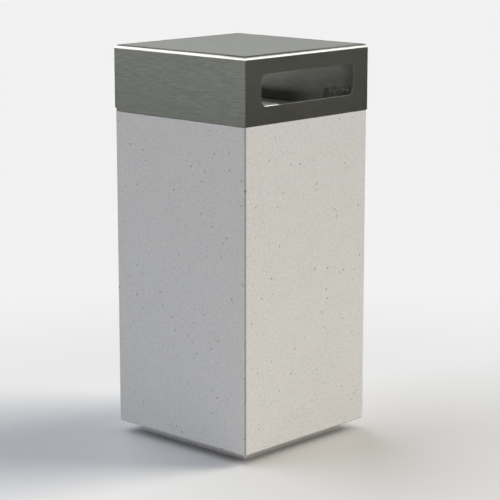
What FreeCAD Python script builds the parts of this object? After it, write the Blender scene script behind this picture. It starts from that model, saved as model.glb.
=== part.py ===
import FreeCAD, Part
import math
import os

from FreeCAD import Placement, Rotation, Vector
import Sketcher

# Ashtray bin: a square cast concrete body on a recessed foot, closed by a folded stainless hood with a
# letter-box slot in its front. The hood is hinged along the rear rim. Below it stand a galvanised liner
# with a bail handle and, hooked on the liner's rim, an ash pan under a perforated stub plate.
# Frame: +Z up, origin on the ground under the middle of the body, slot towards -Y. Millimetres.

doc = FreeCAD.newDocument("AshtrayBin")

DRIVING_DIMENSIONS = {
    # concrete body
    "concrete_side": 399.0,
    "concrete_height": 720.0,
    "edge_chamfer": 3.0,
    "foot_side": 324.0,
    "foot_height": 24.5,
    "cavity_side": 310.0,
    "cavity_corner": 15.0,
    "floor_height": 84.5,
    "drain_radius": 20.0,
    "drain_bore": 17.0,
    "anchor_radius": 7.0,
    "anchor_spacing": 200.0,
    "socket_radius": 6.0,
    "socket_depth": 45.0,
    # hood
    "hood_side": 400.0,
    "hood_height": 148.0,
    "hood_sheet": 2.5,
    "bend_radius": 9.0,
    "joint_gap": 1.0,
    "flange_width": 14.0,
    "flange_back": 15.0,
    "slot_width": 300.0,
    "slot_height": 69.0,
    "slot_sill": 38.5,
    "slot_corner": 15.0,
    "relief_depth": 4.5,
    # rim frame and its screws
    "frame_outer": 360.0,
    "frame_inner": 303.0,
    "frame_plate": 3.0,
    "frame_drop": 27.0,
    "rim_screw_out": 166.0,
    "rim_screw_along": 130.0,
    "rim_screw_radius": 3.0,
    "rim_screw_head": 5.5,
    "rim_screw_length": 30.0,
    "pad_height": 0.9,
    "pad_width": 12.0,
    "pad_length": 40.0,
    # piano hinge
    "hinge_inset": 6.8,
    "hinge_rise": 7.5,
    "hinge_length": 340.0,
    "knuckle_radius": 4.0,
    "knuckle_gap": 0.3,
    "hinge_pin_radius": 2.0,
    "pin_clearance": 0.05,
    "leaf_plate": 1.5,
    "leaf_clear": 0.5,
    "leaf_width": 33.0,
    "leaf_screw_radius": 2.4,
    "leaf_screw_head": 4.5,
    "leaf_screw_head_height": 2.4,
    "recess_length": 5.0,
    "recess_width": 0.9,
    "stud_radius": 2.0,
    "stud_length": 9.5,
    # cam lock and strike
    "lock_radius": 9.0,
    "lock_head_drop": 2.0,
    "lock_length": 21.5,
    "plug_radius": 6.0,
    "key_recess": 4.0,
    "cam_reach": 28.0,
    "cam_half_width": 7.0,
    "cam_plate": 2.5,
    "spigot_radius": 3.0,
    "strike_plate": 2.5,
    "strike_width": 21.5,
    "strike_foot": 24.0,
    "lip_width": 11.5,
    "lip_reach": 18.0,
    # liner and bail
    "liner_side": 292.0,
    "liner_bottom": 92.5,
    "liner_top": 727.0,
    "liner_sheet": 1.2,
    "liner_corner": 8.0,
    "liner_rim_width": 4.5,
    "liner_rim_height": 6.0,
    "foot_clearance": 0.3,
    "bail_radius": 4.0,
    "bail_reach": 125.0,
    "bail_clearance": 0.05,
    "grip_radius": 7.0,
    "grip_length": 100.0,
    # ash pan and stub plate
    "pan_width": 113.7,
    "pan_length": 284.0,
    "pan_depth": 83.0,
    "pan_bottom": 690.0,
    "pan_corner": 8.0,
    "pan_sheet": 1.2,
    "lug_sheet": 1.5,
    "lug_width": 20.0,
    "lug_reach": 8.0,
    "lug_side_reach": 6.8,
    "lug_height": 18.0,
    "plate_width": 117.4,
    "plate_length": 288.0,
    "plate_lip": 10.0,
    "plate_top": 775.0,
    "plate_bend": 2.0,
    "plate_hole_radius": 3.2,
    "hole_pitch": 13.0,
    "hole_margin": 10.7,
    "knob_radius": 9.0,
    "knob_height": 7.0,
    "knob_stem_radius": 4.0,
    "knob_stem_height": 8.0,
}

sheet = doc.addObject("Spreadsheet::Sheet", "Dims")
for row, (name, value) in enumerate(DRIVING_DIMENSIONS.items(), start=1):
    sheet.set("A%d" % row, name)
    sheet.set("B%d" % row, str(value))
    sheet.setAlias("B%d" % row, name)
doc.recompute()


def dim(name):
    """A driving dimension, read from the sheet."""
    return float(sheet.get(name))


# Heights above the ground and places that several pieces share.
RIM_Z = dim("foot_height") + dim("concrete_height")
HOOD_Z = RIM_Z + dim("joint_gap")
HOOD_HALF = dim("hood_side") / 2
HOOD_INSIDE = HOOD_HALF - dim("hood_sheet")
FRAME_TOP = RIM_Z + dim("frame_plate")
HINGE_Y = HOOD_HALF - dim("hinge_inset")
HINGE_Z = RIM_Z + dim("hinge_rise")
LEAF_SCREW_XS = (-150.0, -75.0, 0.0, 75.0, 150.0)
LEAF_SCREW_Y = 168.0
STUD_Z = 772.0
KNUCKLES = 9
LOCK_Y = -140.0
LOCK_Z = 782.0
BAIL_Z = 712.0
BAIL_Y = 138.0
PAN_X = -86.35
PLATE_X = -86.3
KNOB_Y = 80.0
STRIKE_X = 156.0
STRIKE_SCREW_XS = (161.5, 172.5)
STRIKE_SCREW_Y = -95.0

ALONG_X = Rotation(Vector(0, 0, 1), Vector(1, 0, 0))
AGAINST_X = Rotation(Vector(0, 0, 1), Vector(-1, 0, 0))
ALONG_Y = Rotation(Vector(0, 0, 1), Vector(0, 1, 0))
AGAINST_Y = Rotation(Vector(0, 0, 1), Vector(0, -1, 0))
UPRIGHT = Rotation()


# ---- PartDesign helpers -------------------------------------------------------------------------------

def new_body(label, height=None):
    """A Body whose origin stands at the given height above the ground."""
    body = doc.addObject("PartDesign::Body", label)
    body.Label = label
    if height is not None:
        body.Placement = Placement(Vector(0, 0, height), UPRIGHT)
    return body


def origin_feature(body, role):
    return next(feature for feature in body.Origin.OriginFeatures if feature.Role == role)


def new_sketch(body, name, plane="XY_Plane", at=(0, 0, 0)):
    """A sketch on one of the body's own origin planes, its origin moved by at in the plane's axes."""
    sketch = body.newObject("Sketcher::SketchObject", name)
    sketch.AttachmentSupport = [(origin_feature(body, plane), "")]
    sketch.MapMode = "FlatFace"
    sketch.AttachmentOffset = Placement(Vector(*at), UPRIGHT)
    return sketch


def name_last(sketch, name, expression):
    index = sketch.ConstraintCount - 1
    sketch.renameConstraint(index, name)
    sketch.setExpression("Constraints." + name, expression)


def add_rectangle(sketch, name, width, depth):
    """A rectangle centred on the sketch's origin, its sides bound to two expressions."""
    half = 10.0
    corners = [Vector(-half, -half), Vector(half, -half), Vector(half, half), Vector(-half, half)]
    first = len(sketch.Geometry)
    for start, end in zip(corners, corners[1:] + corners[:1]):
        sketch.addGeometry(Part.LineSegment(start, end), False)
    for side in range(4):
        sketch.addConstraint(Sketcher.Constraint("Coincident", first + side, 2, first + (side + 1) % 4, 1))
    for side in (0, 2):
        sketch.addConstraint(Sketcher.Constraint("Horizontal", first + side))
    for side in (1, 3):
        sketch.addConstraint(Sketcher.Constraint("Vertical", first + side))
    sketch.addConstraint(Sketcher.Constraint("Symmetric", first, 1, first + 2, 1, -1, 1))
    sketch.addConstraint(Sketcher.Constraint("DistanceX", first, 1, first, 2, 2 * half))
    name_last(sketch, name + "_width", width)
    sketch.addConstraint(Sketcher.Constraint("DistanceY", first + 1, 1, first + 1, 2, 2 * half))
    name_last(sketch, name + "_depth", depth)


def add_circle(sketch, name, radius):
    """A circle centred on the sketch's origin."""
    index = sketch.addGeometry(Part.Circle(Vector(0, 0, 0), Vector(0, 0, 1), 5.0), False)
    sketch.addConstraint(Sketcher.Constraint("Coincident", index, 3, -1, 1))
    sketch.addConstraint(Sketcher.Constraint("Radius", index, 5.0))
    name_last(sketch, name, radius)


def extrude(body, kind, name, sketch, length, flip=False, both=False):
    """A Pad or Pocket of the sketch, its length bound to an expression."""
    feature = body.newObject("PartDesign::" + kind, name)
    feature.Profile = sketch
    feature.setExpression("Length", length)
    feature.Reversed = flip
    feature.Midplane = both
    sketch.Visibility = False
    doc.recompute()
    return feature


def removes(body, before):
    """Stops the script if the last pocket took nothing away."""
    if body.Shape.Volume > before - 1.0:
        raise RuntimeError("a pocket in %s cuts nothing" % body.Label)


def pocket(body, name, sketch, length, flip=False, both=False):
    before = body.Shape.Volume
    feature = extrude(body, "Pocket", name, sketch, length, flip, both)
    removes(body, before)
    return feature


def edge_names(feature, wanted):
    """The names of the feature's edges that the test accepts."""
    edges = enumerate(feature.Shape.Edges, start=1)
    return ["Edge%d" % index for index, edge in edges if wanted(edge)]


def soften(body, kind, name, base, wanted, size):
    """A Fillet or Chamfer on the chosen edges, its size bound to an expression."""
    feature = body.newObject("PartDesign::" + kind, name)
    feature.Base = (base, edge_names(base, wanted))
    feature.setExpression("Radius" if kind == "Fillet" else "Size", size)
    doc.recompute()
    return feature


def hollow(body, name, width, depth, height, wall, open_top=None):
    """Pockets the inside of a sheet shell: from its top at that height if given, else from below."""
    inside = new_sketch(body, name + "Outline", at=(0, 0, open_top or 0))
    add_rectangle(inside, "inside", "%s - 2 * %s" % (width, wall), "%s - 2 * %s" % (depth, wall))
    return pocket(body, name, inside, "%s - %s" % (height, wall), flip=open_top is None)


def repeat_around(body, name, feature, count):
    pattern = body.newObject("PartDesign::PolarPattern", name)
    pattern.Originals = [feature]
    pattern.Axis = (origin_feature(body, "Z_Axis"), [""])
    pattern.Angle = 360
    pattern.Occurrences = count
    body.Tip = pattern
    doc.recompute()
    return pattern


def is_line(edge, axis):
    return isinstance(edge.Curve, Part.Line) and abs(edge.Curve.Direction.dot(axis)) > 0.999


def is_upright(edge):
    return is_line(edge, Vector(0, 0, 1))


def lies_at(edge, half_x, half_y=None):
    """True where an upright edge stands over the corner of a centred rectangle of those half sides."""
    middle = edge.CenterOfMass
    half_y = half_x if half_y is None else half_y
    return abs(abs(middle.x) - half_x) < 0.01 and abs(abs(middle.y) - half_y) < 0.01


# ---- Part helpers -------------------------------------------------------------------------------------

def cylinder(radius, height, at, turn=UPRIGHT):
    part = doc.addObject("Part::Cylinder", "Cylinder")
    part.setExpression("Radius", radius)
    part.setExpression("Height", height)
    part.Placement = Placement(Vector(*at), turn)
    return part


def cone(radius1, radius2, height, at, turn=UPRIGHT):
    part = doc.addObject("Part::Cone", "Cone")
    part.setExpression("Radius1", radius1)
    part.setExpression("Radius2", radius2)
    part.setExpression("Height", height)
    part.Placement = Placement(Vector(*at), turn)
    return part


def prism(sides, across, height, at, turn=UPRIGHT):
    """A regular prism, such as a nut, given across its corners."""
    part = doc.addObject("Part::Prism", "Prism")
    part.Polygon = sides
    part.setExpression("Circumradius", across)
    part.setExpression("Height", height)
    part.Placement = Placement(Vector(*at), turn)
    return part


def box(length, width, height, at):
    """A box from its lowest corner."""
    part = doc.addObject("Part::Box", "Box")
    part.setExpression("Length", length)
    part.setExpression("Width", width)
    part.setExpression("Height", height)
    part.Placement = Placement(Vector(*at), UPRIGHT)
    return part


def fused(parts, label="Fused"):
    joined = doc.addObject("Part::MultiFuse", label)
    joined.Shapes = parts
    joined.Label = label
    return joined


def grouped(parts, label):
    """Separate solids that share one node."""
    group = doc.addObject("Part::Compound", label)
    group.Links = parts
    group.Label = label
    return group


def cut(base, tools, label="Cut"):
    result = doc.addObject("Part::Cut", label)
    result.Base = base
    result.Tool = tools[0] if len(tools) == 1 else grouped(tools, "Tools")
    result.Label = label
    return result


def text(number):
    """A plain number as an expression."""
    return repr(float(number))


# ---- Concrete body ------------------------------------------------------------------------------------

def make_concrete_body():
    body = new_body("concrete_body")
    foot = new_sketch(body, "FootOutline")
    add_rectangle(foot, "foot", "Dims.foot_side", "Dims.foot_side")
    extrude(body, "Pad", "Foot", foot, "Dims.foot_height")
    block = new_sketch(body, "BlockOutline", at=(0, 0, dim("foot_height")))
    add_rectangle(block, "block", "Dims.concrete_side", "Dims.concrete_side")
    pad = extrude(body, "Pad", "Block", block, "Dims.concrete_height")
    half = dim("concrete_side") / 2

    def outer_edge(edge):
        middle = edge.CenterOfMass
        low = abs(middle.z - dim("foot_height")) < 0.01 and max(abs(middle.x), abs(middle.y)) > half - 0.01
        return low or (is_upright(edge) and lies_at(edge, half))

    soften(body, "Chamfer", "OuterChamfer", pad, outer_edge, "Dims.edge_chamfer")
    cavity = new_sketch(body, "CavityOutline", at=(0, 0, RIM_Z))
    add_rectangle(cavity, "cavity", "Dims.cavity_side", "Dims.cavity_side")
    depth = "Dims.foot_height + Dims.concrete_height - Dims.floor_height"
    hollowed = pocket(body, "Cavity", cavity, depth)
    soften(body, "Fillet", "CavityCorners", hollowed,
           lambda edge: is_upright(edge) and lies_at(edge, dim("cavity_side") / 2), "Dims.cavity_corner")
    drain = new_sketch(body, "DrainHole")
    add_circle(drain, "drain", "Dims.drain_radius")
    pocket(body, "Drain", drain, "Dims.floor_height", flip=True)
    offset = dim("anchor_spacing") / 2
    anchor = new_sketch(body, "AnchorHole", at=(offset, offset, 0))
    add_circle(anchor, "anchor", "Dims.anchor_radius")
    repeat_around(body, "AnchorHoles", pocket(body, "Anchor", anchor, "Dims.floor_height", flip=True), 4)
    out, along = dim("rim_screw_out"), dim("rim_screw_along")
    for name, place in (("SocketA", (out, along)), ("SocketB", (along, out))):
        seat = new_sketch(body, name + "Seat", at=(*place, RIM_Z))
        add_circle(seat, "socket", "Dims.socket_radius")
        repeat_around(body, name + "s", pocket(body, name, seat, "Dims.socket_depth"), 4)
    return body


def rim_screw_places():
    """The eight (x, y) places of the rim frame's screws."""
    out, along = dim("rim_screw_out"), dim("rim_screw_along")
    places = []
    for side in (-1, 1):
        for end in (-1, 1):
            places += [(side * out, end * along), (end * along, side * out)]
    return places


def make_rim_sockets():
    sockets = []
    for x, y in rim_screw_places():
        at = (x, y, RIM_Z - dim("socket_depth"))
        tube = cylinder("Dims.socket_radius", "Dims.socket_depth", at)
        sockets.append(cut(tube, [cylinder("Dims.rim_screw_radius", "Dims.socket_depth", at)]))
    return grouped(sockets, "rim_sockets")


def make_drain_tube():
    tube = cylinder("Dims.drain_radius", "Dims.floor_height - 1", (0, 0, 1))
    bore = cylinder("Dims.drain_bore", "Dims.floor_height", (0, 0, 0))
    return cut(tube, [bore], "drain_tube")


# ---- Rim frame ----------------------------------------------------------------------------------------

def make_rim_frame():
    body = new_body("rim_frame", RIM_Z)
    ring = new_sketch(body, "RingOutline")
    add_rectangle(ring, "outer", "Dims.frame_outer", "Dims.frame_outer")
    add_rectangle(ring, "inner", "Dims.frame_inner", "Dims.frame_inner")
    extrude(body, "Pad", "Ring", ring, "Dims.frame_plate")
    drop = new_sketch(body, "DropOutline")
    leg = "Dims.frame_inner + 2 * Dims.frame_plate"
    add_rectangle(drop, "outer", leg, leg)
    add_rectangle(drop, "inner", "Dims.frame_inner", "Dims.frame_inner")
    dropped = extrude(body, "Pad", "Drop", drop, "Dims.frame_drop", flip=True)
    inner = dim("frame_inner") / 2
    outer = inner + dim("frame_plate")
    cavity_gap = dim("cavity_side") / 2 - outer
    bent = soften(body, "Fillet", "InnerCorners", dropped,
                  lambda edge: is_upright(edge) and lies_at(edge, inner),
                  text(dim("cavity_corner") - cavity_gap - dim("frame_plate")))
    soften(body, "Fillet", "DropCorners", bent, lambda edge: is_upright(edge) and lies_at(edge, outer),
           text(dim("cavity_corner") - cavity_gap))
    out, along = dim("rim_screw_out"), dim("rim_screw_along")
    for name, place in (("ScrewA", (out, along)), ("ScrewB", (along, out))):
        seat = new_sketch(body, name + "Hole", at=(*place, dim("frame_plate")))
        add_circle(seat, "hole", "Dims.rim_screw_radius + 0.2")
        feature = repeat_around(body, name + "Holes", pocket(body, name, seat, "Dims.frame_plate"), 4)
    top = dim("frame_plate")
    hole_radius = dim("rim_screw_radius") + 0.2

    def countersunk(edge):
        is_hole = isinstance(edge.Curve, Part.Circle) and abs(edge.Curve.Radius - hole_radius) < 0.01
        return is_hole and abs(edge.CenterOfMass.z - top) < 0.01

    # cut 0.2 deeper than the screws' heads, which end 0.2 below the frame's face
    sunk = "Dims.rim_screw_head - Dims.rim_screw_radius + 0.2"
    soften(body, "Chamfer", "Countersinks", feature, countersunk, sunk)
    holes = [(x, LEAF_SCREW_Y) for x in LEAF_SCREW_XS] + [(x, STRIKE_SCREW_Y) for x in STRIKE_SCREW_XS]
    for index, place in enumerate(holes):
        seat = new_sketch(body, "FixingHole%d" % index, at=(*place, top))
        add_circle(seat, "fixing", "Dims.leaf_screw_radius")
        pocket(body, "Fixing%d" % index, seat, "Dims.frame_plate")
    return body


def make_rim_screws():
    screws = []
    head_height = "(Dims.rim_screw_head - Dims.rim_screw_radius)"
    for x, y in rim_screw_places():
        low = FRAME_TOP - dim("rim_screw_length")
        shank = cylinder("Dims.rim_screw_radius", "Dims.rim_screw_length - 0.2", (x, y, low))
        under_head = FRAME_TOP - 0.2 - dim("rim_screw_head") + dim("rim_screw_radius")
        head = cone("Dims.rim_screw_radius", "Dims.rim_screw_head", head_height, (x, y, under_head))
        slot_at = (x, y, FRAME_TOP - 2.0)
        socket = prism(6, "2.3", "3", slot_at)
        screws.append(cut(fused([shank, head]), [socket]))
    return grouped(screws, "rim_screws")


def make_rim_pads():
    """Soft strips under the hood's flanges: two at each side and two at the front."""
    out = HOOD_INSIDE - dim("flange_width") / 2
    across, along = dim("pad_width"), dim("pad_length")
    places = [(side * out, y, across, along) for side in (-1, 1) for y in (-110.0, 90.0)]
    places += [(x, -out, along, across) for x in (-110.0, 110.0)]
    pads = [box(text(length), text(width), "Dims.pad_height", (x - length / 2, y - width / 2, RIM_Z))
            for x, y, length, width in places]
    return grouped(pads, "rim_pads")


# ---- Piano hinge --------------------------------------------------------------------------------------

def knuckle_spans(first):
    """(start, length) along X of every second knuckle, counted from the given one."""
    pitch = dim("hinge_length") / KNUCKLES
    gap = dim("knuckle_gap")
    left = -dim("hinge_length") / 2
    return [(left + index * pitch + gap / 2, pitch - gap) for index in range(first, KNUCKLES, 2)]


def knuckle(start, length):
    return cylinder("Dims.knuckle_radius", text(length), (start, HINGE_Y, HINGE_Z), ALONG_X)


def hinge_bore():
    start = (-dim("hinge_length") / 2 - 1, HINGE_Y, HINGE_Z)
    return cylinder("Dims.hinge_pin_radius + Dims.pin_clearance", "Dims.hinge_length + 2", start, ALONG_X)


def make_hinge_fixed_leaf():
    """Lies on the rim frame and carries the first, third, ... knuckle."""
    half = dim("hinge_length") / 2
    edge = dim("knuckle_radius") + dim("leaf_clear")
    plate = box("Dims.hinge_length", "Dims.leaf_width", "Dims.leaf_plate",
                (-half, HINGE_Y - edge - dim("leaf_width"), FRAME_TOP))
    pieces = [plate]
    for start, length in knuckle_spans(0):
        at = (start, HINGE_Y - edge - 0.5, FRAME_TOP)
        tab = box(text(length), text(edge + 0.5), "Dims.leaf_plate", at)
        pieces += [tab, knuckle(start, length)]
    holes = [cylinder("Dims.leaf_screw_radius", "10", (x, LEAF_SCREW_Y, FRAME_TOP - 5))
             for x in LEAF_SCREW_XS]
    return cut(fused(pieces), [hinge_bore()] + holes, "hinge_fixed_leaf")


def make_hinge_hood_leaf():
    """Stands against the hood's rear wall and carries the knuckles between."""
    half = dim("hinge_length") / 2
    edge = dim("knuckle_radius") + dim("leaf_clear")
    inner = HOOD_INSIDE - dim("leaf_plate")
    leaf_at = (-half, inner, HINGE_Z + edge)
    pieces = [box("Dims.hinge_length", "Dims.leaf_plate", "Dims.leaf_width", leaf_at)]
    for start, length in knuckle_spans(1):
        tab = box(text(length), "Dims.leaf_plate", text(edge + 0.5), (start, inner, HINGE_Z))
        pieces += [tab, knuckle(start, length)]
    holes = [cylinder("Dims.stud_radius + 0.2", "10", (x, inner - 5, STUD_Z), ALONG_Y)
             for x in LEAF_SCREW_XS]
    return cut(fused(pieces), [hinge_bore()] + holes, "hinge_hood_leaf")


def make_hinge_pin():
    half = dim("hinge_length") / 2
    pin = cylinder("Dims.hinge_pin_radius", "Dims.hinge_length", (-half, HINGE_Y, HINGE_Z), ALONG_X)
    heads = [cylinder("Dims.hinge_pin_radius + 1.3", "1.5", (x, HINGE_Y, HINGE_Z), turn)
             for x, turn in ((half - 0.1, ALONG_X), (0.1 - half, AGAINST_X))]
    return fused([pin] + heads, "hinge_pin")


def pan_head_screw(x, y, z, through):
    """A pan-head screw whose head rests at height z and whose shank goes down through the plates."""
    shank = cylinder("Dims.leaf_screw_radius", text(through + 1), (x, y, z - through))
    head = cylinder("Dims.leaf_screw_head", "Dims.leaf_screw_head_height", (x, y, z))
    length, width = dim("recess_length"), dim("recess_width")
    low = z + dim("leaf_screw_head_height") - 1.2
    recess = [box(text(length), text(width), "2", (x - length / 2, y - width / 2, low)),
              box(text(width), text(length), "2", (x - width / 2, y - length / 2, low))]
    return cut(fused([shank, head]), [fused(recess)])


def make_hinge_screws():
    seat = FRAME_TOP + dim("leaf_plate")
    through = dim("leaf_plate") + dim("frame_plate")
    return grouped([pan_head_screw(x, LEAF_SCREW_Y, seat, through) for x in LEAF_SCREW_XS], "hinge_screws")


def make_hinge_studs():
    studs = [cylinder("Dims.stud_radius", "Dims.stud_length", (x, HOOD_INSIDE, STUD_Z), AGAINST_Y)
             for x in LEAF_SCREW_XS]
    return grouped(studs, "hinge_studs")


def make_hinge_nuts():
    face = HOOD_INSIDE - dim("leaf_plate")
    nuts = []
    for x in LEAF_SCREW_XS:
        at = (x, face, STUD_Z)
        nut = prism(6, "4.04", "3.2", at, AGAINST_Y)
        nuts.append(cut(nut, [cylinder("Dims.stud_radius", "4", at, AGAINST_Y)]))
    return grouped(nuts, "hinge_nuts")


# ---- Cam lock -----------------------------------------------------------------------------------------

def make_lock_barrel():
    """Flush countersunk lock housing through the hood's right wall."""
    inner_end = HOOD_HALF - dim("lock_length")
    tube = cylinder("Dims.lock_radius", "Dims.lock_length", (inner_end, LOCK_Y, LOCK_Z), ALONG_X)
    head = cone("Dims.lock_radius", "Dims.lock_radius + Dims.lock_head_drop", "Dims.lock_head_drop",
                (HOOD_HALF - dim("lock_head_drop"), LOCK_Y, LOCK_Z), ALONG_X)
    bore = cylinder("Dims.plug_radius + Dims.pin_clearance", "Dims.lock_length + 2",
                    (inner_end - 1, LOCK_Y, LOCK_Z), ALONG_X)
    return cut(fused([tube, head]), [bore], "lock_barrel")


def make_lock_nut():
    at = (HOOD_INSIDE, LOCK_Y, LOCK_Z)
    nut = prism(6, "13.86", "4", at, AGAINST_X)
    return cut(nut, [cylinder("Dims.lock_radius", "5", at, AGAINST_X)], "lock_nut")


def make_lock_plug():
    """Turns in the barrel. A three-sided key stud stands in its recess, and a spigot holds the cam."""
    inner_end = HOOD_HALF - dim("lock_length") - 3.3
    face = HOOD_HALF - 0.5
    core = cylinder("Dims.plug_radius", text(face - inner_end), (inner_end, LOCK_Y, LOCK_Z), ALONG_X)
    spigot = cylinder("Dims.spigot_radius", "7", (inner_end - 6.5, LOCK_Y, LOCK_Z), ALONG_X)
    recess_start = (face - dim("key_recess"), LOCK_Y, LOCK_Z)
    recess = cylinder("Dims.plug_radius - 1", "Dims.key_recess + 1", recess_start, ALONG_X)
    key = prism(3, "3.8", "Dims.key_recess", recess_start, ALONG_X)
    return fused([cut(fused([core, spigot]), [recess]), key], "lock_plug")


def cam_face():
    """X of the cam's outer face, against the plug's shoulder."""
    return HOOD_HALF - dim("lock_length") - 3.3


def make_lock_cam():
    """Hangs down when the lock is open, and turns a quarter to lie under the strike's lip."""
    near = cam_face() - dim("cam_plate")
    reach, half = dim("cam_reach"), dim("cam_half_width")
    arm = box("Dims.cam_plate", "2 * Dims.cam_half_width", text(reach - half),
              (near, LOCK_Y - half, LOCK_Z - reach + half))
    eye = cylinder("Dims.cam_half_width", "Dims.cam_plate", (near, LOCK_Y, LOCK_Z), ALONG_X)
    tip = cylinder("Dims.cam_half_width", "Dims.cam_plate", (near, LOCK_Y, LOCK_Z - reach + half), ALONG_X)
    hole = cylinder("Dims.spigot_radius", "6", (near - 1, LOCK_Y, LOCK_Z), ALONG_X)
    return cut(fused([arm, eye, tip]), [hole], "lock_cam")


def make_lock_cam_nut():
    at = (cam_face() - dim("cam_plate"), LOCK_Y, LOCK_Z)
    nut = prism(6, "5.77", "3", at, AGAINST_X)
    return cut(nut, [cylinder("Dims.spigot_radius", "4", at, AGAINST_X)], "lock_cam_nut")


def make_lock_strike():
    """A bracket on the rim frame, bent up and over so that its lip covers the closed cam."""
    plate = dim("strike_plate")
    post_y = LOCK_Y + dim("cam_reach") + 4.0
    lip_z = LOCK_Z + dim("cam_half_width") + 1.0
    width, lip_width, lip_reach = dim("strike_width"), dim("lip_width"), dim("lip_reach")
    at = (STRIKE_X, post_y, FRAME_TOP)
    foot = box("Dims.strike_width", "Dims.strike_foot", "Dims.strike_plate", at)
    post = box("Dims.strike_width", "Dims.strike_plate", text(lip_z + plate - FRAME_TOP), at)
    lip = box("Dims.lip_width", text(lip_reach + 1), "Dims.strike_plate",
              (STRIKE_X + width - lip_width, post_y - lip_reach, lip_z))
    holes = [cylinder("Dims.leaf_screw_radius", "10", (x, STRIKE_SCREW_Y, FRAME_TOP - 5))
             for x in STRIKE_SCREW_XS]
    return cut(fused([foot, post, lip]), holes, "lock_strike")


def make_strike_screws():
    seat = FRAME_TOP + dim("strike_plate")
    through = dim("strike_plate") + dim("frame_plate")
    screws = [pan_head_screw(x, STRIKE_SCREW_Y, seat, through) for x in STRIKE_SCREW_XS]
    return grouped(screws, "strike_screws")


# ---- Hood ---------------------------------------------------------------------------------------------

def make_hood_shell():
    """One folded sheet: flat top, four bent-down walls welded at the corners, inward flanges below."""
    body = new_body("hood_shell", HOOD_Z)
    outline = new_sketch(body, "HoodOutline")
    add_rectangle(outline, "hood", "Dims.hood_side", "Dims.hood_side")
    extrude(body, "Pad", "HoodBlock", outline, "Dims.hood_height")
    top = dim("hood_height")
    inside = hollow(body, "Inside", "Dims.hood_side", "Dims.hood_side", "Dims.hood_height",
                    "Dims.hood_sheet")
    ceiling = top - dim("hood_sheet")
    bent_inside = soften(body, "Fillet", "InnerBends", inside,
                         lambda edge: abs(edge.CenterOfMass.z - ceiling) < 0.01,
                         "Dims.bend_radius - Dims.hood_sheet")
    soften(body, "Fillet", "Bends", bent_inside, lambda edge: abs(edge.CenterOfMass.z - top) < 0.01,
           "Dims.bend_radius")
    slot_middle = dim("slot_sill") + dim("slot_height") / 2
    slot = new_sketch(body, "SlotOutline", "XZ_Plane", at=(0, slot_middle, 0))
    add_rectangle(slot, "slot", "Dims.slot_width", "Dims.slot_height")
    opening = pocket(body, "Slot", slot, "Dims.hood_side / 2 + 5", flip=True)
    if body.Shape.BoundBox.YMin > -HOOD_HALF + 0.01:
        raise RuntimeError("the slot took the front wall away")

    def slot_corner(edge):
        middle = edge.CenterOfMass
        near_end = abs(abs(middle.x) - dim("slot_width") / 2) < 0.01
        return is_line(edge, Vector(0, 1, 0)) and near_end and middle.y < 0

    soften(body, "Fillet", "SlotCorners", opening, slot_corner, "Dims.slot_corner")
    inner = 2 * HOOD_INSIDE
    lip = dim("flange_width")
    back = dim("flange_back")
    side_length = inner - back
    for name, length, width, x, y in (
        ("FrontFlange", inner + 1, lip + 0.5, 0.0, -HOOD_INSIDE + lip / 2 - 0.25),
        ("LeftFlange", lip + 0.5, side_length, -HOOD_INSIDE + lip / 2 - 0.25, -back / 2),
        ("RightFlange", lip + 0.5, side_length, HOOD_INSIDE - lip / 2 + 0.25, -back / 2),
    ):
        flange = new_sketch(body, name + "Outline", at=(x, y, 0))
        add_rectangle(flange, "flange", text(length), text(width))
        extrude(body, "Pad", name, flange, "Dims.hood_sheet")
    hinge_level = dim("hinge_rise") - dim("joint_gap")
    relief = new_sketch(body, "ReliefOutline", "YZ_Plane", at=(HOOD_HALF, 0, 0))
    add_rectangle(relief, "relief", "2 * Dims.relief_depth", text(2 * hinge_level))
    pocket(body, "HingeRelief", relief, "Dims.hood_side + 2", both=True)
    hole = new_sketch(body, "LockHole", "YZ_Plane", at=(LOCK_Y, LOCK_Z - HOOD_Z, 0))
    add_circle(hole, "lock", "Dims.lock_radius")
    drilled = pocket(body, "Lock", hole, "Dims.hood_side / 2 + 5", flip=True)

    def lock_mouth(edge):
        is_hole = isinstance(edge.Curve, Part.Circle) and abs(edge.Curve.Radius - dim("lock_radius")) < 0.01
        return is_hole and edge.CenterOfMass.x > HOOD_HALF - 0.01

    soften(body, "Chamfer", "LockSeat", drilled, lock_mouth, "Dims.lock_head_drop")
    return body


# ---- Liner and bail -----------------------------------------------------------------------------------

def make_liner_shell():
    bottom = dim("liner_bottom")
    body = new_body("liner_shell", bottom)
    outline = new_sketch(body, "LinerOutline")
    add_rectangle(outline, "liner", "Dims.liner_side", "Dims.liner_side")
    extrude(body, "Pad", "LinerBlock", outline, "Dims.liner_top - Dims.liner_bottom")
    half = dim("liner_side") / 2
    inside = hollow(body, "Inside", "Dims.liner_side", "Dims.liner_side",
                    "(Dims.liner_top - Dims.liner_bottom)", "Dims.liner_sheet", dim("liner_top") - bottom)
    inner = half - dim("liner_sheet")
    rounded = soften(body, "Fillet", "InnerCorners", inside,
                     lambda edge: is_upright(edge) and lies_at(edge, inner),
                     "Dims.liner_corner - Dims.liner_sheet")
    soften(body, "Fillet", "LinerCorners", rounded, lambda edge: is_upright(edge) and lies_at(edge, half),
           "Dims.liner_corner")
    pivots = new_sketch(body, "BailHoles", "XZ_Plane", at=(0, BAIL_Z - bottom, 0))
    add_circle(pivots, "bail", "Dims.bail_radius + Dims.bail_clearance")
    pocket(body, "BailPivots", pivots, "Dims.liner_side + 2", both=True)
    seep = new_sketch(body, "SeepHole", at=(60, 60, 0))
    add_circle(seep, "seep", "4")
    repeat_around(body, "SeepHoles", pocket(body, "Seep", seep, "5", flip=True), 4)
    return body


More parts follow.
